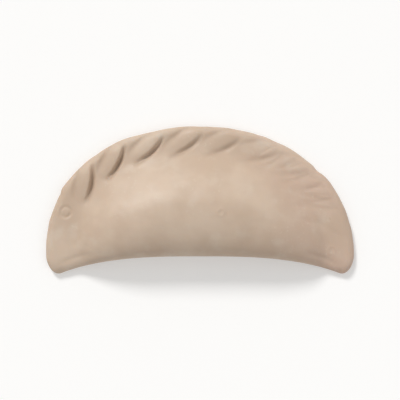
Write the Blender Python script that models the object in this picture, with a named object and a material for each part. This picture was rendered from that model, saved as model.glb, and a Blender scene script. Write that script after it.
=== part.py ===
"""A raw half-moon empanada: one round of dough folded over its filling and closed by a moulded rim.

The piece lies flat, with +Z up. The straight fold faces -Y and the curved rim faces +Y, so X runs along the
fold. The origin is at the middle of the underside. Everything here is in metres.

The solid starts as a UV sphere whose two poles become the two ears, where the rim meets the fold. Each ring of
the sphere becomes one rib: a closed loop that runs from the rim over the belly to the fold and back underneath.
"""

import math

import bmesh
import bpy
import numpy as np

MM = 0.001

# The outline, seen from above
HALF_WIDTH = 80.0 * MM
RIM_REACH = 67.5 * MM  # from the fold line to the top of the rim's arc
LEFT_SQUARENESS = 2.25  # exponents of the rim's superellipse, 2 being a plain ellipse
RIGHT_SQUARENESS = 2.10
EAR_X = 72.5 * MM  # the ears' tips, where the rim meets the fold
EAR_DROP = 9.0 * MM
EAR_ROUND = 13.0 * MM  # how far an ear's curve runs before it turns up into the arc
FOLD_BOW = 3.0  # power of the fold line's curve: flat in the middle, dropping at the ears

# Thicknesses
BELLY_HEIGHT = 26.0 * MM  # before its edges are rounded
FLANGE = 4.8 * MM  # two pressed sheets
RIM_BAND = 14.5 * MM  # from the rim's edge to the foot of the belly
BELLY_RISE = 43.0 * MM  # run from the foot of the belly to its full height
BELLY_FULLNESS = 2.6
FOOT_SOFTNESS = 0.09  # how softly the belly leaves the rim, as a share of its rise
NOSE = 0.42  # height of the outermost line of an edge, as a share of the thickness there
RIM_ROUND = 0.85  # how far each edge's rounding reaches in, as a share of the thickness there
FOLD_ROUND = 1.5
UNDER_ROUND = 0.34
FLANGE_LIFT = 0.5 * MM  # the rim stands this far off the table

# The moulded pads that close the rim
PADS = 9
FIRST_PAD = 61.0 * MM  # along the rim's edge, from the left ear's tip
PAD_PITCH = 20.7 * MM
PAD_INSET = 9.8 * MM  # from the rim's edge to a pad's centre
PAD_SLANT = math.radians(33)
PAD_HALF_LENGTH = 11.0 * MM
PAD_OUTER_SIDE = 6.2 * MM  # gentle slope towards the rim's edge
PAD_INNER_SIDE = 4.3 * MM  # steep slope towards the belly
PAD_HEIGHT = 3.4 * MM
PAD_BLUNTNESS = 0.7  # power of its rounding, 1 being a plain dome
PAD_FADE = 0.6  # how much lower the last pad is than the first

# The mesh
RIBS = 96
LOOP_POINTS = 44
CURVE_STEPS = 600
EAR_STEPS = 40
ARC_STEPS = 200
# Where the points of a rib lie between the rim's edge and the fold: close at both ends and over the pads
LOOP_SHARE = (0.0, 0.08, 0.46, 0.85, 1.0)
RIB_SHARE = (0.0, 0.028, 0.27, 0.90, 1.0)
FOLD_CROWDING = 0.08  # how much closer the ribs stand in the middle of the fold than at its ends
RIB_BEND = 0.45  # how far a rib runs square to the rim before it turns to the fold

DOUGH = (0.76, 0.66, 0.51, 1.0)


def clear_scene():
    for obj in list(bpy.data.objects):
        bpy.data.objects.remove(obj, do_unlink=True)


def hermite(start, leaving, end, arriving, steps):
    """A cubic from start to end, with those two tangents."""
    u = np.linspace(0.0, 1.0, steps)[:, None]
    return (
        (2 * u**3 - 3 * u**2 + 1) * start
        + (u**3 - 2 * u**2 + u) * leaving
        + (3 * u**2 - 2 * u**3) * end
        + (u**3 - u**2) * arriving
    )


def evenly(points, steps):
    """The same curve with its points at equal distances, and its length."""
    run = np.concatenate([[0.0], np.cumsum(np.linalg.norm(np.diff(points, axis=0), axis=1))])
    at = np.linspace(0.0, run[-1], steps)
    return np.stack([np.interp(at, run, points[:, k]) for k in (0, 1)], axis=1), run[-1]


def fold_slope():
    """The fold line's slope where it reaches an ear's tip."""
    return EAR_DROP * FOLD_BOW / EAR_X


def rim_line():
    """The rim's outer edge, from the left ear's tip over the arc to the right ear's tip."""
    heading = np.array([1.0, -fold_slope()])
    heading /= np.linalg.norm(heading)
    tip = np.array([EAR_X, -EAR_DROP])
    side = np.array([HALF_WIDTH, 0.0])
    ear = hermite(tip, EAR_ROUND * heading, side, np.array([0.0, EAR_ROUND]), EAR_STEPS)
    angle = np.linspace(0.0, math.pi / 2, ARC_STEPS)
    halves = []
    for squareness in (RIGHT_SQUARENESS, LEFT_SQUARENESS):
        x = HALF_WIDTH * np.cos(angle) ** (2 / squareness)
        y = RIM_REACH * np.sin(angle) ** (2 / squareness)
        halves.append(np.vstack([ear[:-1], np.stack([x, y], axis=1)]))
    right, left = halves
    mirrored = left * (-1.0, 1.0)
    return evenly(np.vstack([mirrored[:-1], right[::-1]]), CURVE_STEPS)


def fold_line():
    """The fold, from the left ear's tip to the right one."""
    x = np.linspace(-EAR_X, EAR_X, CURVE_STEPS)
    y = -EAR_DROP * (np.abs(x) / EAR_X) ** FOLD_BOW
    return evenly(np.stack([x, y], axis=1), CURVE_STEPS)


def inward(line):
    """Unit vectors square to the rim, pointing into the dough."""
    along = np.gradient(line, axis=0)
    along /= np.linalg.norm(along, axis=1)[:, None]
    return np.stack([along[:, 1], -along[:, 0]], axis=1)


def along_line(line, share):
    """Points of a line at these shares of its length."""
    places = np.linspace(0.0, 1.0, len(line))
    return np.stack([np.interp(share, places, line[:, k]) for k in (0, 1)], axis=-1)


def distance_to(line, points):
    """For each point, how far the nearest stretch of the line is."""
    starts, runs = line[:-1], np.diff(line, axis=0)
    squares = (runs**2).sum(axis=1)
    distances = []
    for point in points:
        share = np.clip(((point - starts) * runs).sum(axis=1) / squares, 0.0, 1.0)
        nearest = starts + share[:, None] * runs
        distances.append(math.sqrt(((point - nearest) ** 2).sum(axis=1).min()))
    return np.array(distances)


def even_distance_to(line, length, points):
    """Much the same, but with no ridge where two sides of the line are equally near."""
    step = length / len(line)
    distances = []
    for point in points:
        squares = np.maximum(((line - point) ** 2).sum(axis=1), step**2)
        distances.append(((squares**-2).sum() * step / (math.pi / 2)) ** (-1 / 3))
    return np.array(distances)


def rounding(distance, reach):
    """Quarter of an ellipse: 0 on an edge, standing upright there, and 1 from reach inwards."""
    share = np.clip(distance / reach, 0.0, 1.0)
    return np.sqrt(1.0 - (1.0 - share) ** 2)


def pad_relief(points, rim, rim_length):
    """How far the moulded pads stand above the flange."""
    normals = inward(rim)
    relief = np.zeros(len(points))
    for index in range(PADS):
        share = (FIRST_PAD + index * PAD_PITCH) / rim_length
        normal = along_line(normals, share)
        centre = along_line(rim, share) + PAD_INSET * normal
        tangent = np.array([-normal[1], normal[0]])
        axis = math.cos(PAD_SLANT) * tangent - math.sin(PAD_SLANT) * normal
        across = math.sin(PAD_SLANT) * tangent + math.cos(PAD_SLANT) * normal
        offset = points - centre
        side = offset @ across
        half_width = np.where(side > 0, PAD_INNER_SIDE, PAD_OUTER_SIDE)
        reach = (offset @ axis / PAD_HALF_LENGTH) ** 2 + (side / half_width) ** 2
        height = PAD_HEIGHT * (1.0 - PAD_FADE * index / (PADS - 1))
        relief = np.maximum(relief, height * np.clip(1.0 - reach, 0.0, 1.0) ** PAD_BLUNTNESS)
    return relief


def thickness(points, rim, rim_length):
    """Full thickness of the dough at each point, before its edges are rounded."""
    run = (even_distance_to(rim, rim_length, points) - RIM_BAND) / BELLY_RISE
    climb = np.clip((run + np.sqrt(run**2 + FOOT_SOFTNESS**2)) / 2, 0.0, 1.0)
    belly = (BELLY_HEIGHT - FLANGE) * (1.0 - (1.0 - climb) ** BELLY_FULLNESS)
    return FLANGE + np.maximum(belly, pad_relief(points, rim, rim_length))


def shaped(t, loop):
    """World positions for these shares of the way from ear to ear (t) and round a rib (loop)."""
    rim, rim_length = rim_line()
    fold, _ = fold_line()
    on_top = loop <= 0.5
    share = np.interp(np.where(on_top, loop, 1.0 - loop) * 2, LOOP_SHARE, RIB_SHARE)[:, None]
    edge = along_line(rim, t)
    foot = along_line(fold, t + FOLD_CROWDING * np.sin(2 * math.pi * t))
    length = np.linalg.norm(edge - foot, axis=1)[:, None]
    bend = edge + RIB_BEND * length * along_line(inward(rim), t)
    plan = (1 - share) ** 2 * edge + 2 * share * (1 - share) * bend + share**2 * foot

    from_rim, from_fold = distance_to(rim, plan), distance_to(fold, plan)
    thick = thickness(plan, rim, rim_length)
    nose = NOSE * thick
    over = rounding(from_rim, RIM_ROUND * FLANGE) * rounding(from_fold, FOLD_ROUND * thick)
    under = rounding(from_rim, UNDER_ROUND * FLANGE) * rounding(from_fold, UNDER_ROUND * thick)
    z = np.where(on_top, nose + (thick - nose) * over, nose * (1.0 - under))
    lift = FLANGE_LIFT * np.clip(1.0 - from_rim / RIM_BAND, 0.0, 1.0) ** 2
    return np.column_stack([plan, z + lift])


def make_empanada(collection):
    """Shapes a UV sphere into the empanada, its poles at the ears."""
    bm = bmesh.new()
    bmesh.ops.create_uvsphere(bm, u_segments=LOOP_POINTS, v_segments=RIBS, radius=1.0)
    ball = np.array([v.co for v in bm.verts])
    t = np.arccos(np.clip(-ball[:, 2], -1.0, 1.0)) / math.pi
    loop = np.round(np.arctan2(ball[:, 1], ball[:, 0]) / (2 * math.pi) % 1.0, 6) % 1.0
    places = shaped(t, loop)
    middle = (places.min(axis=0) + places.max(axis=0)) / 2
    places -= (middle[0], middle[1], places[:, 2].min())
    for vert, place in zip(bm.verts, places, strict=True):
        vert.co = place
    bmesh.ops.recalc_face_normals(bm, faces=bm.faces)
    mesh = bpy.data.meshes.new("empanada")
    bm.to_mesh(mesh)
    bm.free()
    mesh.shade_smooth()
    obj = bpy.data.objects.new("empanada", mesh)
    collection.objects.link(obj)
    return obj


def dough_material():
    material = bpy.data.materials.new("raw_dough")
    material.use_nodes = True
    shader = material.node_tree.nodes["Principled BSDF"]
    shader.inputs["Base Color"].default_value = DOUGH
    shader.inputs["Roughness"].default_value = 0.6
    shader.inputs["Metallic"].default_value = 0.0
    return material


def main():
    clear_scene()
    collection = bpy.data.collections.new("empanada_piece")
    bpy.context.scene.collection.children.link(collection)
    make_empanada(collection).data.materials.append(dough_material())


main()
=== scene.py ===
"""A raw half-moon empanada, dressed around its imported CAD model.

One round of pale dough is folded over a cheese filling and closed along its curved side by a rope-like crimp.
The fold runs along X at the -Y side, the crimped rim arches towards +Y and +Z is up. Everything is in metres.
"""

import logging
import math
from collections.abc import Iterator
from dataclasses import dataclass, field
from enum import Enum

import bmesh
import bpy
import numpy as np
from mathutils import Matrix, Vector, noise

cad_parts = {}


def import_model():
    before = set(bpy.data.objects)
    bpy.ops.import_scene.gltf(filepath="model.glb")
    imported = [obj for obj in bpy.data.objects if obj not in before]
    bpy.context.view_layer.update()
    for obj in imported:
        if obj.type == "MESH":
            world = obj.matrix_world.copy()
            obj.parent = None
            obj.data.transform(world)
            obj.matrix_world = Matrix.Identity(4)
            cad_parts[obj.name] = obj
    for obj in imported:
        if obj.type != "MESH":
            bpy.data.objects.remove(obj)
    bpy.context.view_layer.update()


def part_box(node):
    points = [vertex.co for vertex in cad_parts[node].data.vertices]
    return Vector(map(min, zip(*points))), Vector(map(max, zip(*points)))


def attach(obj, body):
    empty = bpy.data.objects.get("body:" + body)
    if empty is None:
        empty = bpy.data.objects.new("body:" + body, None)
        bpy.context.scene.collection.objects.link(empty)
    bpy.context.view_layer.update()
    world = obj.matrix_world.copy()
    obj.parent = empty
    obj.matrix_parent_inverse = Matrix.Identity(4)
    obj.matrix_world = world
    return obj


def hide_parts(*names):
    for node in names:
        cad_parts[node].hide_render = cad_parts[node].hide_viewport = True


LOG = logging.getLogger("empanada")
MM = 0.001
CHUNK = 4000  # points measured against a line at one time
LINE_POINTS = 700
PIECE = "empanada_dough"
PAINTED_GROOVE_SHADE = "painted_groove_shade"  # the groove depth that the mesh carries, which the finish turns into painted shade in the grooves
# The colour sockets of a Mix node
MIX_FIRST = 6
MIX_SECOND = 7
MIX_RESULT = 2

Colour = tuple[float, float, float, float]
Span = tuple[float, float]
WHITE: Colour = (1.0, 1.0, 1.0, 1.0)
Amount = bpy.types.NodeSocket | float


def srgb(red: int, green: int, blue: int) -> Colour:
    """Turns a colour as it is seen, 0 to 255 a channel, into the shader's linear colour.

    Args:
        red: Red channel.
        green: Green channel.
        blue: Blue channel.

    Returns:
        The linear colour, with an alpha of 1.
    """
    shares = [channel / 255 for channel in (red, green, blue)]
    linear = [s / 12.92 if s <= 0.04045 else ((s + 0.055) / 1.055) ** 2.4 for s in shares]
    return (*linear, 1.0)


def bell(offset: np.ndarray) -> np.ndarray:
    """A smooth bump: 1 at an offset of 0, and next to nothing from 2 on."""
    return np.exp(-(offset**2))


def smooth_step(share: np.ndarray) -> np.ndarray:
    """Eases from 0 to 1 as share goes from 0 to 1, flat at both ends."""
    clipped = np.clip(share, 0.0, 1.0)
    return clipped * clipped * (3 - 2 * clipped)


def soft_maximum(first: np.ndarray, second: np.ndarray, blend: float) -> np.ndarray:
    """The larger of two heights, with the corner between them filled.

    Args:
        first: Heights of one form.
        second: Heights of the other form.
        blend: How high the fill is where the two are equal, doubled.

    Returns:
        The joined heights, 0 where both are 0.
    """
    return (first + second + np.sqrt((first - second) ** 2 + blend**2) - blend) / 2


def rounding(distance: np.ndarray, reach: np.ndarray | float) -> np.ndarray:
    """Quarter of an ellipse, as an edge's cross-section.

    Args:
        distance: Distance of each point from the edge.
        reach: How far the rounding reaches in.

    Returns:
        One share of the full height for each point: 0 on the edge, upright there, and 1 from reach inwards.
    """
    share = np.clip(distance / reach, 0.0, 1.0)
    return np.sqrt(1.0 - (1.0 - share) ** 2)


class Side(Enum):
    """The two ends of the fold."""

    LEFT = -1.0
    RIGHT = 1.0


class Hills(Enum):
    """The dough's sets of hills and hollows, each unlike the others."""

    FILLING = 1.0
    DENTS = 2.0
    SKIN = 3.0
    LIP = 5.0
    WAVE = 6.0
    RUFFLE = 7.0
    SHEETS = 8.0

    def lumps(self, points: np.ndarray, feature: float) -> np.ndarray:
        """Smooth hills and hollows between about -1 and 1.

        Args:
            points: Positions, one a row.
            feature: Distance over which the hills come and go.

        Returns:
            One height for each point.
        """
        lift = Vector((self.value * 7.3, self.value * 3.1, self.value))
        return np.array([noise.noise(Vector(p) / feature + lift) for p in points.tolist()])


class Stray(Enum):
    """How one pad or ripple strays from the next: its step along the pattern, and where that starts."""

    PAD_PLACE = (1.7, 4.2, 0.0)
    PAD_SLANT = (2.3, 9.1, 0.0)
    RIPPLE = (3.1, 1.4, 5.0)

    def at(self, index: int) -> float:
        """The stray of one member of a row, between about -1 and 1."""
        step, across, up = self.value
        return noise.noise(Vector((index * step, across, up)))


@dataclass(frozen=True)
class Nearest:
    """What a line says about a set of points."""

    distance: np.ndarray
    even_distance: np.ndarray  # the same near the line, but without a ridge between two of its sides
    along: np.ndarray  # distance along the line to the nearest place on it


@dataclass(frozen=True)
class Line:
    """A curve in plan, with its points at equal distances."""

    points: np.ndarray
    length: float
    least_gap: float = 0.3  # of a step, below which a point counts as on the line

    @classmethod
    def through(cls, points: np.ndarray) -> "Line":
        """Sets points out again at equal distances.

        Args:
            points: The curve's points, one a row.

        Returns:
            The evenly spaced line.
        """
        run = np.concatenate([[0.0], np.cumsum(np.linalg.norm(np.diff(points, axis=0), axis=1))])
        at = np.linspace(0.0, run[-1], LINE_POINTS)
        even = np.stack([np.interp(at, run, points[:, k]) for k in (0, 1)], axis=1)
        return cls(even, float(run[-1]))

    def at(self, share: np.ndarray | float) -> np.ndarray:
        """Finds places on the line.

        Args:
            share: Shares of its length.

        Returns:
            Positions in plan.
        """
        places = np.linspace(0.0, 1.0, len(self.points))
        return np.stack([np.interp(share, places, self.points[:, k]) for k in (0, 1)], axis=-1)

    def inward(self, share: np.ndarray | float) -> np.ndarray:
        """Finds the directions square to the line, on its right.

        Args:
            share: Shares of its length.

        Returns:
            Unit vectors in plan.
        """
        along = np.gradient(self.points, axis=0)
        along /= np.linalg.norm(along, axis=1)[:, None]
        return Line(np.stack([along[:, 1], -along[:, 0]], axis=1), self.length).at(share)

    def nearest(self, points: np.ndarray) -> Nearest:
        """Measures how far each point is from the line.

        Args:
            points: Positions in plan, one a row.

        Returns:
            The distances, and how far along the line the nearest places are.
        """
        starts, runs = self.points[:-1], np.diff(self.points, axis=0)
        squares = (runs**2).sum(axis=1)
        step = self.length / len(runs)
        distance, even, along = [], [], []
        for first in range(0, len(points), CHUNK):
            offset = points[first : first + CHUNK, None] - starts
            share = np.clip((offset * runs).sum(axis=2) / squares, 0.0, 1.0)
            gaps = ((offset - share[:, :, None] * runs) ** 2).sum(axis=2)
            best = gaps.argmin(axis=1)
            rows = np.arange(len(best))
            distance.append(np.sqrt(gaps[rows, best]))
            pull = (np.maximum(gaps, (self.least_gap * step) ** 2) ** -2).sum(axis=1) * step
            even.append((pull / (math.pi / 2)) ** (-1 / 3))
            along.append((best + share[rows, best]) * step)
        return Nearest(np.concatenate(distance), np.concatenate(even), np.concatenate(along))


@dataclass(frozen=True)
class Outline:
    """The half-moon seen from above: a fold along X and a rim that arches over it."""

    half_width: float
    depth: float
    ear_x: float = 72.5 * MM
    ear_drop: float = 9.0 * MM
    ear_round: float = 13.0 * MM
    fold_bow: float = 3.0
    left_squareness: float = 2.25  # exponents of the rim's superellipse, 2 being a plain ellipse
    right_squareness: float = 2.10
    ear_steps: int = 60
    arc_steps: int = 260
    fold_steps: int = 500

    def ear(self) -> np.ndarray:
        """Draws the curve from the right ear's tip up into the rim's arc.

        Returns:
            The curve's points, one a row.
        """
        slope = self.ear_drop * self.fold_bow / self.ear_x
        heading = np.array([1.0, -slope]) / math.hypot(1.0, slope)
        tip, leaving = np.array([self.ear_x, -self.ear_drop]), self.ear_round * heading
        side, arriving = np.array([self.half_width, 0.0]), np.array([0.0, self.ear_round])
        u = np.linspace(0.0, 1.0, self.ear_steps)[:, None]
        return (
            (2 * u**3 - 3 * u**2 + 1) * tip
            + (u**3 - 2 * u**2 + u) * leaving
            + (3 * u**2 - 2 * u**3) * side
            + (u**3 - u**2) * arriving
        )

    def rim(self) -> Line:
        """Draws the rim's outer edge, from the left ear's tip over the arc to the right ear's tip.

        Returns:
            The edge.
        """
        angle = np.linspace(0.0, math.pi / 2, self.arc_steps)
        reach = self.depth - self.ear_drop
        halves = []
        for side, squareness in ((Side.LEFT, self.left_squareness), (Side.RIGHT, self.right_squareness)):
            x = self.half_width * np.cos(angle) ** (2 / squareness)
            y = reach * np.sin(angle) ** (2 / squareness)
            half = np.vstack([self.ear()[:-1], np.stack([x, y], axis=1)])
            halves.append(half * (side.value, 1.0))
        left, right = halves
        return Line.through(np.vstack([left[:-1], right[::-1]]))

    def fold(self) -> Line:
        """Draws the fold, from the left ear's tip to the right one.

        Returns:
            The fold.
        """
        x = np.linspace(-self.ear_x, self.ear_x, self.fold_steps)
        y = -self.ear_drop * (np.abs(x) / self.ear_x) ** self.fold_bow
        return Line.through(np.stack([x, y], axis=1))


@dataclass(frozen=True)
class Pad:
    """One slanted pad of the crimp: gentle outside, then a crest, and a steep side with a groove at its foot."""

    centre: np.ndarray
    along: np.ndarray
    across: np.ndarray  # points towards the belly
    strength: float
    half_length: float = 11.8 * MM
    outer_side: float = 6.7 * MM
    inner_side: float = 2.2 * MM
    height: float = 3.9 * MM
    groove_depth: float = 1.15 * MM
    groove_width: float = 0.95 * MM
    hollow_share: float = 0.45  # depth of the hollow outside the pad, as a share of the groove's
    hollow_width: float = 0.20  # as a share of the outer side
    bend: float = 13.0  # how much the pad curls, in metres of side step for each square metre of length
    flare: float = 0.22  # how much wider the pad is at its rim end than in its middle
    tilt: float = 0.12  # how much higher it is there
    end_bluntness: float = 0.55  # powers of its rounding, 1 being a plain dome
    inner_bluntness: float = 0.85
    outer_bluntness: float = 0.8
    groove_reach: float = 0.96  # of the half length
    groove_bluntness: float = 0.8
    least_width: float = 1e-3

    def places(self, points: np.ndarray) -> tuple[np.ndarray, np.ndarray]:
        """Where points lie on the pad.

        Args:
            points: Positions in plan, one a row.

        Returns:
            The share of the half length, from -1 at the belly end to 1 at the rim end, and the side step.
        """
        offset = points - self.centre
        run = offset @ self.along
        return run / self.half_length, offset @ self.across + self.bend * run**2

    def relief(self, points: np.ndarray) -> np.ndarray:
        """How far the pad stands above the pressed sheets.

        Args:
            points: Positions in plan, one a row.

        Returns:
            One height for each point, 0 outside the pad.
        """
        share, side = self.places(points)
        inside = np.clip(1.0 - share**2, 0.0, 1.0)
        width = np.maximum(np.sqrt(inside) * (1.0 + self.flare * share), self.least_width)
        reach = np.where(side > 0, self.inner_side * (0.5 + 0.5 * width), self.outer_side * width)
        across = np.clip(1.0 - (side / reach) ** 2, 0.0, 1.0)
        profile = across ** np.where(side > 0, self.inner_bluntness, self.outer_bluntness)
        crest = inside**self.end_bluntness * (1.0 + self.tilt * share)
        return self.strength * self.height * crest * profile

    def groove(self, points: np.ndarray) -> np.ndarray:
        """Depth of the groove along the foot of the pad's steep side, and of the faint hollow outside it.

        Args:
            points: Positions in plan, one a row.

        Returns:
            One depth for each point.
        """
        share, side = self.places(points)
        run = np.clip(1.0 - (share / self.groove_reach) ** 2, 0.0, 1.0) ** self.groove_bluntness
        aside = (side - self.inner_side) / self.groove_width
        outside = (side / self.outer_side + np.sqrt(run)) / self.hollow_width
        pressed = bell(aside) + self.hollow_share * bell(outside)
        return self.strength * self.groove_depth * run * pressed


@dataclass(frozen=True)
class Crimp:
    """The rope-like row of pads along the rim, crisp on the left and fading to ripples on the right."""

    rim: Line
    pads: int = 9
    first: float = 61.0 * MM  # along the rim's edge, from the left ear's tip
    pitch: float = 20.7 * MM
    inset: float = 9.5 * MM
    slant: float = math.radians(31)
    half_length: float = 11.8 * MM
    place_stray: float = 1.6 * MM
    inset_stray: float = 0.8 * MM
    length_stray: float = 1.2 * MM
    slant_stray: float = math.radians(7)
    fillet: float = 0.25 * MM  # between one pad and the next
    crisp_pads: int = 1
    fade_power: float = 0.7
    faintest: float = 0.12
    softening: float = 1.8 * MM  # how much wider the steep side gets as a pad fades away
    ripples: int = 6
    ripple_pitch: float = 9.0 * MM
    ripple_first: float = 172.0 * MM
    ripple_slant: float = math.radians(55)
    ripple_strength: float = 0.13
    ripple_inset: float = 9.5 * MM
    ripple_half_length: float = 9.0 * MM
    ripple_outer_side: float = 4.2 * MM
    ripple_inner_side: float = 2.8 * MM
    ripple_groove_width: float = 1.5 * MM
    ripple_place_stray: float = 2.0 * MM
    ripple_inset_stray: float = 2.5 * MM
    ripple_length_stray: float = 2.0 * MM
    ripple_strength_stray: float = 0.5

    def strength(self, index: int) -> float:
        """How strongly a pad is formed, from 1 on the left to the faintest on the right."""
        fading = max(index - self.crisp_pads, 0) / (self.pads - 1 - self.crisp_pads)
        return float(1.0 - (1.0 - self.faintest) * smooth_step(np.array(fading**self.fade_power)))

    def frame(self, along: float, inset: float, slant: float) -> tuple[np.ndarray, np.ndarray, np.ndarray]:
        """Works out where a pad stands.

        Args:
            along: Distance along the rim's edge.
            inset: Distance from the rim's edge to the pad's centre.
            slant: Angle between the pad and the rim.

        Returns:
            The pad's centre, the direction it runs in and the direction towards the belly.
        """
        share = along / self.rim.length
        normal = self.rim.inward(share)
        normal = normal / np.linalg.norm(normal)
        tangent = np.array([-normal[1], normal[0]])
        run = math.cos(slant) * tangent - math.sin(slant) * normal
        across = math.sin(slant) * tangent + math.cos(slant) * normal
        return self.rim.at(share) + inset * normal, run, across

    def row(self) -> Iterator[Pad]:
        """Sets out the pads from the left ear on, each a little unlike the last.

        Returns:
            Every pad, in order.
        """
        for index in range(self.pads):
            stray = Stray.PAD_PLACE.at(index)
            along = self.first + index * self.pitch + self.place_stray * stray
            slant = self.slant + self.slant_stray * Stray.PAD_SLANT.at(index)
            placed = self.frame(along, self.inset + self.inset_stray * stray, slant)
            strength = self.strength(index)
            softer = (1.0 - strength) * self.softening
            yield Pad(
                *placed,
                strength=strength,
                half_length=self.half_length + self.length_stray * stray,
                inner_side=Pad.inner_side + softer,
                groove_width=Pad.groove_width + softer / 2,
            )

    def ripple_row(self) -> Iterator[Pad]:
        """Sets out the low ripples that the crimp fades into at its right end.

        Returns:
            Every ripple, in order.
        """
        for index in range(self.ripples):
            stray = Stray.RIPPLE.at(index)
            along = self.ripple_first + index * self.ripple_pitch + self.ripple_place_stray * stray
            inset = self.ripple_inset + self.ripple_inset_stray * stray
            yield Pad(
                *self.frame(along, inset, self.ripple_slant),
                strength=self.ripple_strength * (1.0 + self.ripple_strength_stray * stray),
                half_length=self.ripple_half_length + self.ripple_length_stray * stray,
                outer_side=self.ripple_outer_side,
                inner_side=self.ripple_inner_side,
                groove_width=self.ripple_groove_width,
            )

    def relief(self, points: np.ndarray) -> tuple[np.ndarray, np.ndarray]:
        """Joins the pads and ripples into one relief.

        Args:
            points: Positions in plan, one a row.

        Returns:
            The height of the pads and the depth of the grooves at each point.
        """
        raised, pressed = np.zeros(len(points)), np.zeros(len(points))
        for pad in self.row():
            raised = soft_maximum(raised, pad.relief(points), self.fillet)
            pressed = np.maximum(pressed, pad.groove(points))
        for ripple in self.ripple_row():
            raised = raised + ripple.relief(points)
            pressed = np.maximum(pressed, ripple.groove(points))
        return raised, pressed


@dataclass(frozen=True)
class Blister:
    """A little ring in the dough, where an air bubble has fallen in."""

    x: float
    y: float
    radius: float
    ring: float
    pit: float
    ring_width: float = 0.35  # both as shares of the radius
    pit_width: float = 0.7

    def relief(self, points: np.ndarray) -> np.ndarray:
        """Measures the ring's height less the depth of the pit inside it.

        Args:
            points: Positions in plan, one a row.

        Returns:
            One height for each point.
        """
        gap = np.hypot(points[:, 0] - self.x, points[:, 1] - self.y) / self.radius
        return self.ring * bell((gap - 1.0) / self.ring_width) - self.pit * bell(gap / self.pit_width)


@dataclass(frozen=True)
class Ring:
    """A round mark pressed into the dough, such as a cutter or a mould leaves."""

    x: float
    y: float
    radius: float
    width: float
    depth: float

    def relief(self, points: np.ndarray) -> np.ndarray:
        """Measures the depth of the mark.

        Args:
            points: Positions in plan, one a row.

        Returns:
            One height for each point, below 0 in the mark.
        """
        gap = np.hypot(points[:, 0] - self.x, points[:, 1] - self.y) - self.radius
        return -self.depth * bell(gap / self.width)


@dataclass(frozen=True)
class Crease:
    """A soft, slightly bowed hollow between two places."""

    start: tuple[float, float]
    end: tuple[float, float]
    width: float
    depth: float
    bow: float = 0.0

    def relief(self, points: np.ndarray) -> np.ndarray:
        """Measures the depth of the crease.

        Args:
            points: Positions in plan, one a row.

        Returns:
            One height for each point, below 0 in the crease.
        """
        start, end = np.array(self.start), np.array(self.end)
        length = np.linalg.norm(end - start)
        run = (end - start) / length
        offset = points - start
        share = offset @ run / length
        arch = 4 * share * (1 - share)
        aside = offset @ np.array([-run[1], run[0]]) - self.bow * arch
        return -self.depth * np.clip(arch, 0.0, 1.0) * bell(aside / self.width)


@dataclass(frozen=True)
class Belly:
    """The filled part, which swells from the rim's foot and rolls over into the fold."""

    height: float
    flange: float
    rim_band: float = 14.5 * MM
    rise: float = 43.0 * MM
    fullness: float = 2.6
    lump_height: float = 0.55 * MM
    lump_feature: float = 21.0 * MM
    dent_height: float = 0.16 * MM
    dent_feature: float = 7.5 * MM
    skin_height: float = 0.04 * MM
    skin_feature: float = 3.6 * MM
    foot_softness: float = 0.09  # how softly the belly leaves the rim, as a share of its rise
    lumpy_from: float = 0.6  # of the height, from which the filling shows its full lumps
    marks: tuple[Blister | Ring | Crease, ...] = (
        Blister(10.5 * MM, 23.0 * MM, 1.7 * MM, 0.20 * MM, 0.16 * MM),
        Blister(-14.6 * MM, 18.0 * MM, 0.8 * MM, 0.05 * MM, 0.14 * MM),
        Blister(28.1 * MM, 14.5 * MM, 0.8 * MM, 0.05 * MM, 0.14 * MM),
        Blister(68.0 * MM, 3.0 * MM, 1.9 * MM, 0.14 * MM, 0.10 * MM),
        Blister(66.8 * MM, 19.0 * MM, 1.1 * MM, 0.06 * MM, 0.18 * MM),
        Ring(-69.6 * MM, 23.0 * MM, 2.6 * MM, 0.80 * MM, 0.50 * MM),
        Crease((52.0 * MM, 2.0 * MM), (73.0 * MM, -5.5 * MM), 1.5 * MM, 0.55 * MM, 1.2 * MM),
        Crease((-54.0 * MM, 1.5 * MM), (-73.5 * MM, -5.0 * MM), 1.5 * MM, 0.50 * MM, -1.2 * MM),
        Crease((45.0 * MM, 26.0 * MM), (64.0 * MM, 24.5 * MM), 1.4 * MM, 0.28 * MM, 0.8 * MM),
        Crease((50.0 * MM, 19.0 * MM), (66.0 * MM, 15.0 * MM), 1.6 * MM, 0.20 * MM, 0.8 * MM),
        Crease((-62.0 * MM, 14.0 * MM), (-66.0 * MM, 4.0 * MM), 1.7 * MM, 0.30 * MM, 1.0 * MM),
    )

    def swell(self, from_rim: np.ndarray) -> np.ndarray:
        """Height of the filling over the pressed sheets, before its lumps.

        Args:
            from_rim: Distance of each point from the rim's edge.

        Returns:
            One height for each point.
        """
        run = (from_rim - self.rim_band) / self.rise
        climb = np.clip((run + np.sqrt(run**2 + self.foot_softness**2)) / 2, 0.0, 1.0)
        return (self.height - self.flange) * (1.0 - (1.0 - climb) ** self.fullness)

    def surface(self, points: np.ndarray, from_rim: np.ndarray) -> np.ndarray:
        """Height of the filling with its lumps, dents and marks.

        Args:
            points: Positions in plan, one a row.
            from_rim: Distance of each point from the rim's edge.

        Returns:
            One height for each point.
        """
        swell = self.swell(from_rim)
        full = smooth_step(swell / (self.height * self.lumpy_from))
        spread = np.column_stack([points, np.zeros(len(points))])
        swell = swell + full * self.lump_height * Hills.FILLING.lumps(spread, self.lump_feature)
        swell = swell + full * self.dent_height * Hills.DENTS.lumps(spread, self.dent_feature)
        swell = swell + self.skin_height * Hills.SKIN.lumps(spread, self.skin_feature)
        for mark in self.marks:
            swell = swell + mark.relief(points)
        return swell


@dataclass(frozen=True)
class Cloud:
    """A cloudy pattern, and the band of its values that is put to use."""

    scale: float  # clouds for each metre
    detail: float
    low: float = 0.0
    high: float = 1.0
    shift: tuple[float, float, float] = (0.0, 0.0, 0.0)  # sets patterns of one scale apart


@dataclass(frozen=True)
class Grain:
    """A fine unevenness of the skin."""

    cloud: Cloud
    strength: float
    height: float


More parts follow.
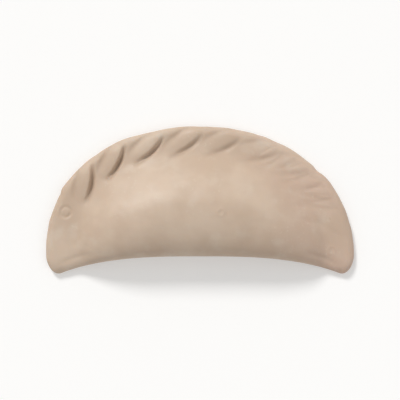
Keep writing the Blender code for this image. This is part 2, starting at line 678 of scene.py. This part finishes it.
@dataclass(frozen=True)
class RawDough:
    """Pale raw dough: soft satin, a little floury, warmer where it is thin, with painted shade darkening the
    crimp's grooves.
    """

    name: str = "raw_dough"
    pale: Colour = srgb(209, 188, 167)
    deep: Colour = srgb(199, 176, 154)
    blush: Colour = srgb(205, 177, 158)
    # painted shade in the crimp's grooves, darker and warmer than the dough
    painted_groove_shade: Colour = srgb(172, 146, 124)
    flour: Colour = srgb(220, 207, 191)
    roughness: tuple[float, float] = (0.44, 0.60)
    subsurface: float = 0.16
    subsurface_scale: float = 2.2 * MM
    subsurface_radius: tuple[float, float, float] = (1.0, 0.62, 0.36)
    specular: float = 0.42
    tint: Cloud = Cloud(38.0, 3.0, 0.36, 0.64)
    rosy: Cloud = Cloud(16.0, 1.0, 0.25, 0.70, (0.31, 0.0, 0.0))
    blush_run: tuple[float, float] = (0.01, 0.075)  # along the fold, over which the dough turns rosy
    blush_share: tuple[float, float] = (0.08, 1.0)
    specks: Cloud = Cloud(620.0, 2.0, 0.60, 0.72)
    drift: Cloud = Cloud(55.0, 2.0, 0.48, 0.66, (0.0, 0.7, 0.0))  # where the specks of flour lie
    speck_share: float = 0.30
    veil: Cloud = Cloud(85.0, 4.0, 0.50, 0.78, (0.0, 0.0, 0.9))
    veil_share: float = 0.35
    sheen: Cloud = Cloud(70.0, 2.0, 0.3, 0.7, (0.0, 0.0, 0.4))
    soft_grain: Grain = Grain(Cloud(260.0, 3.0), 0.35, 0.25 * MM)
    fine_grain: Grain = Grain(Cloud(1100.0, 2.0), 0.18, 0.08 * MM)

    def material(self) -> bpy.types.Material:
        """Builds the shader.

        Returns:
            The finished material.
        """
        material = bpy.data.materials.new(self.name)
        material.use_nodes = True
        bench = NodeBench(material.node_tree)
        shader = material.node_tree.nodes["Principled BSDF"]
        shader.inputs["Subsurface Weight"].default_value = self.subsurface
        shader.inputs["Subsurface Scale"].default_value = self.subsurface_scale
        shader.inputs["Subsurface Radius"].default_value = self.subsurface_radius
        shader.inputs["Specular IOR Level"].default_value = self.specular
        bench.join(self.colour(bench), shader.inputs["Base Color"])
        bench.join(self.shine(bench), shader.inputs["Roughness"])
        bench.join(self.grain(bench), shader.inputs["Normal"])
        return material

    def colour(self, bench: "NodeBench") -> bpy.types.NodeSocket:
        """Mixes the dough's tints, and darkens the crimp's grooves with painted shade.

        Args:
            bench: Where the nodes are laid out.

        Returns:
            The colour socket.
        """
        body = bench.mix(bench.cloudy(self.tint), self.pale, self.deep)
        right_end = bench.band(bench.along_x(), self.blush_run, self.blush_share)
        body = bench.mix(bench.product(bench.cloudy(self.rosy), right_end), body, self.blush)
        specks = bench.product(bench.cloudy(self.specks), bench.cloudy(self.drift))
        body = bench.mix(bench.product(specks, self.speck_share), body, self.flour)
        veil = bench.product(bench.cloudy(self.veil), self.veil_share)
        body = bench.mix(veil, body, self.flour)
        # painted shade: darkens the dough in step with the groove depth
        return bench.mix(bench.attribute(PAINTED_GROOVE_SHADE), body, self.painted_groove_shade)

    def shine(self, bench: "NodeBench") -> bpy.types.NodeSocket:
        """Varies the sheen in soft patches.

        Args:
            bench: Where the nodes are laid out.

        Returns:
            The roughness socket.
        """
        return bench.cloudy(self.sheen, self.roughness)

    def grain(self, bench: "NodeBench") -> bpy.types.NodeSocket:
        """Gives the skin its faint unevenness.

        Args:
            bench: Where the nodes are laid out.

        Returns:
            The normal socket.
        """
        return bench.bump(self.fine_grain, bench.bump(self.soft_grain))


@dataclass
class NodeBench:
    """Lays out shader nodes and joins their sockets."""

    tree: bpy.types.NodeTree
    place: bpy.types.NodeSocket = field(init=False)

    def __post_init__(self) -> None:
        """Starts from the object's own coordinates."""
        self.place = self.tree.nodes.new("ShaderNodeTexCoord").outputs["Object"]

    def join(self, source: bpy.types.NodeSocket, target: bpy.types.NodeSocket) -> None:
        """Links an output to an input."""
        self.tree.links.new(source, target)

    def feed(self, value: bpy.types.NodeSocket | Colour | float, target: bpy.types.NodeSocket) -> None:
        """Links a socket to an input, or sets the input to a plain value.

        Args:
            value: The socket or the plain value.
            target: The input.
        """
        if isinstance(value, bpy.types.NodeSocket):
            self.join(value, target)
        else:
            target.default_value = value

    def noise(self, pattern: Cloud) -> bpy.types.NodeSocket:
        """Adds a cloudy pattern, with all its values.

        Args:
            pattern: The pattern.

        Returns:
            The pattern's value socket.
        """
        moved = self.tree.nodes.new("ShaderNodeVectorMath")
        moved.operation = "ADD"
        self.join(self.place, moved.inputs[0])
        moved.inputs[1].default_value = pattern.shift
        cloud = self.tree.nodes.new("ShaderNodeTexNoise")
        cloud.inputs["Scale"].default_value = pattern.scale
        cloud.inputs["Detail"].default_value = pattern.detail
        self.join(moved.outputs["Vector"], cloud.inputs["Vector"])
        return cloud.outputs["Fac"]

    def band(self, value: bpy.types.NodeSocket, start: Span, end: Span = (0.0, 1.0)) -> bpy.types.NodeSocket:
        """Stretches a band of values over another band, easing at its ends.

        Args:
            value: The value to stretch.
            start: The band's two ends.
            end: What its two ends become.

        Returns:
            The stretched value's socket.
        """
        node = self.tree.nodes.new("ShaderNodeMapRange")
        node.interpolation_type = "SMOOTHSTEP"
        self.join(value, node.inputs["Value"])
        for name, amount in zip(("From Min", "From Max", "To Min", "To Max"), (*start, *end)):
            node.inputs[name].default_value = amount
        return node.outputs["Result"]

    def cloudy(self, pattern: Cloud, end: Span = (0.0, 1.0)) -> bpy.types.NodeSocket:
        """Adds a cloudy pattern and stretches its band over another.

        Args:
            pattern: The pattern.
            end: What its band's two ends become.

        Returns:
            The stretched value's socket.
        """
        return self.band(self.noise(pattern), (pattern.low, pattern.high), end)

    def product(self, first: bpy.types.NodeSocket, second: Amount) -> bpy.types.NodeSocket:
        """Multiplies two values.

        Args:
            first: One value.
            second: The other value.

        Returns:
            The product's socket.
        """
        node = self.tree.nodes.new("ShaderNodeMath")
        node.operation = "MULTIPLY"
        self.feed(first, node.inputs[0])
        self.feed(second, node.inputs[1])
        return node.outputs["Value"]

    def along_x(self) -> bpy.types.NodeSocket:
        """Reads how far along the fold a point is, from the middle.

        Returns:
            The distance's socket.
        """
        node = self.tree.nodes.new("ShaderNodeSeparateXYZ")
        self.join(self.place, node.inputs["Vector"])
        return node.outputs["X"]

    def mix(
        self,
        share: bpy.types.NodeSocket,
        first: bpy.types.NodeSocket | Colour,
        second: bpy.types.NodeSocket | Colour,
    ) -> bpy.types.NodeSocket:
        """Mixes two colours.

        Args:
            share: How much of the second colour shows.
            first: The colour at a share of 0.
            second: The colour at a share of 1.

        Returns:
            The mixed colour's socket.
        """
        node = self.tree.nodes.new("ShaderNodeMix")
        node.data_type = "RGBA"
        self.join(share, node.inputs["Factor"])
        self.feed(first, node.inputs[MIX_FIRST])
        self.feed(second, node.inputs[MIX_SECOND])
        return node.outputs[MIX_RESULT]

    def attribute(self, name: str) -> bpy.types.NodeSocket:
        """Reads a value that the mesh carries at each of its points.

        Args:
            name: The value's name.

        Returns:
            The value's socket.
        """
        node = self.tree.nodes.new("ShaderNodeAttribute")
        node.attribute_name = name
        return node.outputs["Fac"]

    def bump(self, grain: Grain, under: bpy.types.NodeSocket | None = None) -> bpy.types.NodeSocket:
        """Gives the surface a fine unevenness.

        Args:
            grain: The unevenness.
            under: The unevenness that it is laid over.

        Returns:
            The normal socket.
        """
        node = self.tree.nodes.new("ShaderNodeBump")
        node.inputs["Strength"].default_value = grain.strength
        node.inputs["Distance"].default_value = grain.height
        self.join(self.noise(grain.cloud), node.inputs["Height"])
        if under is not None:
            self.join(under, node.inputs["Normal"])
        return node.outputs["Normal"]


@dataclass(frozen=True)
class Lip:
    """The rim's free edge: two sheets pressed together, a little wavy, and lifting here and there."""

    width: float = 14.0 * MM
    ear_length: float = 30.0 * MM  # along the rim, over which its unevenness dies away
    fold_clear: float = 6.0 * MM  # this close to the fold the edge stays as it is
    lift: float = 0.9 * MM
    lift_feature: float = 34.0 * MM
    lift_middle: float = 0.45
    lift_limit: float = 1.2
    wave: float = 0.55 * MM
    wave_feature: float = 15.0 * MM
    ruffle_share: float = 0.4  # of the wave, in a finer one on top of it
    ruffle_feature: float = 6.0 * MM
    tab_end: float = 47.0 * MM  # along the rim, where the plain tab gives way to the crimp
    tab_step: float = 1.3 * MM
    tab_ramp: float = 3.0 * MM
    tab_fade: float = 9.0 * MM
    notch_at: float = 199.0 * MM
    notch_depth: float = 0.7 * MM
    notch_width: float = 2.6 * MM
    seam_depth: float = 0.35 * MM  # the line between the two sheets
    seam_width: float = 0.32 * MM
    seam_reach: float = 1.5 * MM
    seam_feature: float = 9.0 * MM
    seam_middle: float = 0.9

    def edge_line(self, along: np.ndarray, sway: np.ndarray) -> np.ndarray:
        """Measures how the edge strays from its even curve.

        Args:
            along: Distance along the rim.
            sway: The same as positions, for the hills.

        Returns:
            How far the edge stands in, at each point.
        """
        wave = self.wave * Hills.WAVE.lumps(sway, self.wave_feature)
        ruffle = self.ruffle_share * self.wave * Hills.RUFFLE.lumps(sway, self.ruffle_feature)
        past_tab = along - self.tab_end
        fading = np.exp(-np.clip(past_tab, 0.0, None) / self.tab_fade)
        step = np.clip(past_tab / self.tab_ramp, 0.0, 1.0) * fading
        notch = bell((along - self.notch_at) / self.notch_width)
        return wave + ruffle - self.tab_step * step + self.notch_depth * notch

    def seam(self, from_rim: np.ndarray, sway: np.ndarray, from_nose: np.ndarray) -> np.ndarray:
        """Presses the line between the two sheets into the edge, stronger in some places than in others.

        Args:
            from_rim: Distance of each point from the rim's edge.
            sway: Distance along the rim as positions, for the hills.
            from_nose: Height of each point over the outermost line of the edge.

        Returns:
            How far the line stands in, at each point.
        """
        line = self.seam_depth * bell(from_nose / self.seam_width)
        line = line * np.clip(1.0 - from_rim / self.seam_reach, 0.0, 1.0)
        return line * np.clip(self.seam_middle + Hills.SHEETS.lumps(sway, self.seam_feature), 0, 1)

    def moves(
        self, to_rim: Nearest, to_fold: Nearest, rim_length: float, from_nose: np.ndarray
    ) -> tuple[np.ndarray, np.ndarray]:
        """Works out how the lip's unevenness moves the dough.

        Args:
            to_rim: Where the points lie from the rim's edge.
            to_fold: Where they lie from the fold.
            rim_length: Length of the rim's edge.
            from_nose: Height of each point over the outermost line of the edge.

        Returns:
            How far each point goes up, and how far it goes in.
        """
        along, from_rim = to_rim.along, to_rim.distance
        to_ear = np.minimum(along, rim_length - along)
        share = np.clip(1.0 - from_rim / self.width, 0.0, 1.0) ** 2 * smooth_step(to_ear / self.ear_length)
        sway = np.column_stack([along, np.zeros((len(along), 2))])
        raised = np.clip(self.lift_middle + Hills.LIP.lumps(sway, self.lift_feature), 0.0, self.lift_limit)
        clear = np.clip(to_fold.distance / self.fold_clear, 0.0, 1.0)
        push = share * self.edge_line(along, sway) + self.seam(from_rim, sway, from_nose)
        return share * self.lift * raised, push * clear


@dataclass
class Empanada:
    """The whole piece: outline, belly and crimp, built as one skin of dough."""

    low: Vector
    high: Vector
    finish: RawDough = field(default_factory=RawDough)
    flange: float = 4.8 * MM
    belly_height: float = 26.0 * MM  # before its edges are rounded
    nose: float = 0.42
    rim_round: float = 0.85
    fold_round: float = 1.5
    under_round: float = 0.34
    ribs: int = 470
    loop_points: int = 190  # in each rib
    top_share: float = 0.76  # of a rib's points, how many are on the upper side
    rib_bend: float = 0.45
    fold_crowding: float = 0.08
    lip: Lip = field(default_factory=Lip)
    crimp_fillet: float = 0.8 * MM  # between the crimp and the belly
    full_groove_shade: float = 1.6 * MM  # a groove this deep gets the full painted shade
    inset: float = 0.02 * MM  # clearance inside the CAD box
    # Where a rib's points lie between the rim's edge and the fold: close together at both ends
    over_loop: tuple[float, ...] = (0, 0.02, 0.08, 0.47, 0.86, 1)
    over_share: tuple[float, ...] = (0, 0.0012, 0.012, 0.27, 0.86, 1)
    under_loop: tuple[float, ...] = (0, 0.12, 0.3, 0.65, 1)
    under_share: tuple[float, ...] = (0, 0.006, 0.05, 0.80, 1)

    def spread(self, loop: np.ndarray) -> np.ndarray:
        """How far across the dough each point of a rib lies.

        Args:
            loop: Shares of the way round a rib, from the rim over the top to the fold and back underneath.

        Returns:
            Shares of the way from the rim's edge to the fold.
        """
        over = np.interp(loop / self.top_share, self.over_loop, self.over_share)
        below = np.interp((1.0 - loop) / (1.0 - self.top_share), self.under_loop, self.under_share)
        return np.where(loop <= self.top_share, over, below)

    def plan(self, rim: Line, fold: Line, t: np.ndarray, loop: np.ndarray) -> np.ndarray:
        """Places the ribs in plan.

        Args:
            rim: The rim's outer edge.
            fold: The fold.
            t: Share of the way from the left ear to the right one.
            loop: Share of the way round the rib.

        Returns:
            Positions in plan, one a row.
        """
        share = self.spread(loop)[:, None]
        edge = rim.at(t)
        inward = rim.inward(t)
        foot = fold.at(t + self.fold_crowding * np.sin(2 * math.pi * t))
        length = np.linalg.norm(edge - foot, axis=1)[:, None]
        bend = edge + self.rib_bend * length * inward
        return (1 - share) ** 2 * edge + 2 * share * (1 - share) * bend + share**2 * foot

    def edges(
        self, to_rim: Nearest, to_fold: Nearest, thick: np.ndarray, rim_reach: float, fold_reach: float
    ) -> np.ndarray:
        """Rounds the dough at the rim and at the fold.

        Args:
            to_rim: Where the points lie from the rim's edge.
            to_fold: Where they lie from the fold.
            thick: The dough's thickness at each point.
            rim_reach: How far the rounding reaches in at the rim, as a share of the thickness there.
            fold_reach: The same at the fold.

        Returns:
            The share of the full height at each point.
        """
        at_rim = rounding(to_rim.distance, rim_reach * self.flange)
        return at_rim * rounding(to_fold.distance, fold_reach * thick)

    def shaped(self, t: np.ndarray, loop: np.ndarray) -> tuple[np.ndarray, np.ndarray]:
        """Forms the dough.

        Args:
            t: Share of the way from the left ear to the right one.
            loop: Share of the way round the rib.

        Returns:
            Positions, and how deep in a groove each point is, from 0 to 1, as the share of painted groove shade.
        """
        width, depth, _ = self.high - self.low
        outline = Outline(half_width=width / 2, depth=depth)
        rim, fold = outline.rim(), outline.fold()
        plan = self.plan(rim, fold, t, loop)
        to_rim, to_fold = rim.nearest(plan), fold.nearest(plan)

        raised, pressed = Crimp(rim).relief(plan)
        belly = Belly(height=self.belly_height, flange=self.flange).surface(plan, to_rim.even_distance)
        full = self.flange + soft_maximum(belly, raised, self.crimp_fillet) - pressed
        thick = self.flange + belly
        nose = self.nose * thick
        over = self.edges(to_rim, to_fold, thick, self.rim_round, self.fold_round)
        under = self.edges(to_rim, to_fold, thick, self.under_round, self.under_round)
        on_top = loop <= self.top_share
        z = np.where(on_top, nose + (full - nose) * over, nose * (1.0 - under))

        lift, push = self.lip.moves(to_rim, to_fold, rim.length, z - nose)
        aside = push[:, None] * rim.inward(to_rim.along / rim.length)
        places = np.column_stack([plan + aside, z + lift])
        # painted shade in the grooves, stronger where the groove is deeper
        painted_groove_shade = np.clip(pressed / self.full_groove_shade, 0.0, 1.0) * on_top
        return places, painted_groove_shade

    def settled(self, places: np.ndarray) -> np.ndarray:
        """Fits the dough exactly into the box of its CAD solid.

        Args:
            places: The dough's points.

        Returns:
            The points in their final places.
        """
        low = np.array(self.low) + self.inset
        high = np.array(self.high) - self.inset
        share = (places - places.min(axis=0)) / np.ptp(places, axis=0)
        return low + share * (high - low)

    def skin(self) -> bpy.types.Object:
        """Shapes a UV sphere, its poles at the two ears, into the dough.

        Returns:
            The object, linked to the scene.
        """
        ball = bmesh.new()
        bmesh.ops.create_uvsphere(ball, u_segments=self.loop_points, v_segments=self.ribs, radius=1.0)
        start = np.array([v.co for v in ball.verts])
        t = np.arccos(np.clip(-start[:, 2], -1.0, 1.0)) / math.pi
        loop = np.round(np.arctan2(start[:, 1], start[:, 0]) / (2 * math.pi) % 1.0, 6) % 1.0
        places, painted_groove_shade = self.shaped(t, loop)
        places = self.settled(places)
        for vert, place in zip(ball.verts, places):
            vert.co = place
        bmesh.ops.recalc_face_normals(ball, faces=ball.faces)
        mesh = bpy.data.meshes.new(PIECE)
        ball.to_mesh(mesh)
        ball.free()
        mesh.shade_smooth()
        # the mesh carries the groove depth for the finish's painted groove shade
        mesh.attributes.new(PAINTED_GROOVE_SHADE, "FLOAT", "POINT").data.foreach_set("value", painted_groove_shade)
        dough = bpy.data.objects.new(PIECE, mesh)
        bpy.context.scene.collection.objects.link(dough)
        return dough

    def build(self) -> bpy.types.Object:
        """Makes the piece, dresses it and puts it in the frame.

        Returns:
            The finished piece.
        """
        dough = self.skin()
        dough.data.materials.append(self.finish.material())
        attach(dough, "root")
        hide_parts("empanada")
        return dough


@dataclass(frozen=True)
class Lamp:
    """One soft, far lamp, which lights the dough and the floor evenly."""

    name: str
    direction: tuple[float, float, float]  # from the dough to the lamp
    strength: float
    softness: float  # the angle that the lamp takes up in the sky

    def hang(self) -> bpy.types.Object:
        """Hangs the lamp and turns it to the dough.

        Returns:
            The lamp.
        """
        data = bpy.data.lights.new(self.name, "SUN")
        data.energy = self.strength
        data.angle = self.softness
        lamp = bpy.data.objects.new(self.name, data)
        lamp.location = self.direction
        lamp.rotation_euler = (-Vector(self.direction)).to_track_quat("-Z", "Y").to_euler()
        bpy.context.scene.collection.objects.link(lamp)
        return lamp


@dataclass
class Studio:
    """A pale floor, soft white light and a camera that looks straight down."""

    width: float
    lens: float = 120.0
    fill_of_frame: float = 0.78
    sky: float = 0.49
    floor_reach: float = 6.0
    floor_gap: float = 0.05 * MM  # under the dough
    floor_colour: Colour = srgb(232, 231, 229)
    floor_roughness: float = 0.9
    floor_specular: float = 0.1
    floor_lift: float = 0.24
    lamps: tuple[Lamp, ...] = (
        Lamp("key_lamp", (-0.36, 0.74, 0.62), 1.95, math.radians(15)),
        Lamp("fill_lamp", (0.75, -0.35, 0.70), 0.25, math.radians(40)),
    )

    def floor(self) -> bpy.types.Object:
        """Lays the floor, which looks white to the camera and keeps the shadow.

        Returns:
            The floor.
        """
        sheet = bmesh.new()
        bmesh.ops.create_grid(sheet, x_segments=1, y_segments=1, size=self.floor_reach)
        mesh = bpy.data.meshes.new("floor")
        sheet.to_mesh(mesh)
        sheet.free()
        floor = bpy.data.objects.new("floor", mesh)
        floor.location.z = -self.floor_gap
        bpy.context.scene.collection.objects.link(floor)
        floor.data.materials.append(self.floor_material())
        return floor

    def floor_material(self) -> bpy.types.Material:
        """Mixes a matt white, lifted a little where the camera or a gloss sees it.

        Returns:
            The floor's material.
        """
        material = bpy.data.materials.new("white_floor")
        material.use_nodes = True
        nodes, links = material.node_tree.nodes, material.node_tree.links
        matt = nodes["Principled BSDF"]
        matt.inputs["Base Color"].default_value = self.floor_colour
        matt.inputs["Roughness"].default_value = self.floor_roughness
        matt.inputs["Specular IOR Level"].default_value = self.floor_specular
        path = nodes.new("ShaderNodeLightPath")
        seen = nodes.new("ShaderNodeMath")
        seen.operation = "MAXIMUM"
        links.new(path.outputs["Is Camera Ray"], seen.inputs[0])
        links.new(path.outputs["Is Glossy Ray"], seen.inputs[1])
        lift = nodes.new("ShaderNodeMath")
        lift.operation = "MULTIPLY"
        links.new(seen.outputs["Value"], lift.inputs[0])
        lift.inputs[1].default_value = self.floor_lift
        matt.inputs["Emission Color"].default_value = WHITE
        links.new(lift.outputs["Value"], matt.inputs["Emission Strength"])
        return material

    def world(self) -> None:
        """Fills the studio with even white light, and shows white beyond the floor."""
        world = bpy.data.worlds.new("studio")
        world.use_nodes = True
        nodes, links = world.node_tree.nodes, world.node_tree.links
        sky = nodes["Background"]
        sky.inputs["Color"].default_value = WHITE
        path = nodes.new("ShaderNodeLightPath")
        level = nodes.new("ShaderNodeMapRange")
        links.new(path.outputs["Is Camera Ray"], level.inputs["Value"])
        level.inputs["To Min"].default_value = self.sky
        level.inputs["To Max"].default_value = 1.0
        links.new(level.outputs["Result"], sky.inputs["Strength"])
        bpy.context.scene.world = world

    def camera(self, centre: Vector) -> bpy.types.Object:
        """Sets the camera over the dough, with the rim's arch at the top of the picture.

        Args:
            centre: The point that the camera looks down on.

        Returns:
            The camera.
        """
        data = bpy.data.cameras.new("camera")
        data.lens = self.lens
        camera = bpy.data.objects.new("camera", data)
        seen_width = self.width / self.fill_of_frame
        distance = seen_width * self.lens / data.sensor_width
        camera.location = (centre.x, centre.y, centre.z + distance)
        bpy.context.scene.collection.objects.link(camera)
        bpy.context.scene.camera = camera
        return camera

    def build(self, centre: Vector) -> None:
        """Sets up floor, light and camera around the dough.

        Args:
            centre: The point that the camera looks down on.
        """
        bpy.context.scene.view_settings.view_transform = "Standard"
        self.world()
        self.floor()
        for lamp in self.lamps:
            lamp.hang()
            LOG.info("hung %s", lamp.name)
        self.camera(centre)


def main() -> None:
    """Builds the empanada and its studio."""
    logging.basicConfig(level=logging.INFO, format="%(name)s: %(message)s")
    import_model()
    low, high = (Vector(corner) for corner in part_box("empanada"))
    dough = Empanada(low, high).build()
    LOG.info("built %s with %d faces", dough.name, len(dough.data.polygons))
    Studio(width=high.x - low.x).build((low + high) / 2)


if __name__ == "__main__":
    main()
